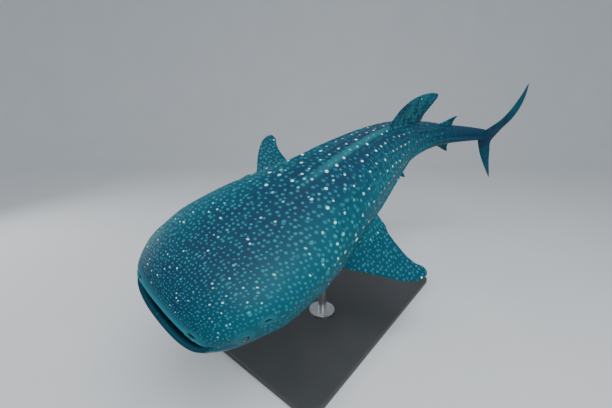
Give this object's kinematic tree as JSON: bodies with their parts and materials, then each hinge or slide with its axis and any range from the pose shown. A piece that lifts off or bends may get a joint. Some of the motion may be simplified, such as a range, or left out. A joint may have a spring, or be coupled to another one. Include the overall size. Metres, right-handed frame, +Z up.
{
  "type": "whale shark display model",
  "caption": "Life-size whale shark in a gentle, banking dive with its mouth slightly open and its tail swung to the left, held by a plain stand of a flat base and rods.",
  "frame": {"origin": "centre of the base's underside, on the floor", "axes": "+Z up, the shark's head towards -Y and its tail towards +Y, its left side towards +X"},
  "size_m": [2.223, 5.4267, 2.7354],
  "materials": {
    "skin": "satin painted skin, dark blue-green with pale spots and a pale belly",
    "eye": "polished dark eye",
    "stand_base": "matt dark grey paint",
    "stand_metal": "fine brushed"
  },
  "bodies": {
    "root": {"head": "skin", "lower_jaw": "skin", "trunk_front": "skin", "trunk_rear": "skin", "tail_stock": "skin", "tail_fin": "skin", "pectoral_fin_left": "skin", "pectoral_fin_right": "skin", "dorsal_fin_first": "skin", "dorsal_fin_second": "skin", "pelvic_fin_left": "skin", "pelvic_fin_right": "skin", "anal_fin": "skin", "eye_left": "eye", "eye_right": "eye", "stand_base": "stand_base", "stand_foot_front": "stand_metal", "stand_foot_rear": "stand_metal", "stand_rod_front": "stand_metal", "stand_rod_rear": "stand_metal"}
  },
  "joints": []
}
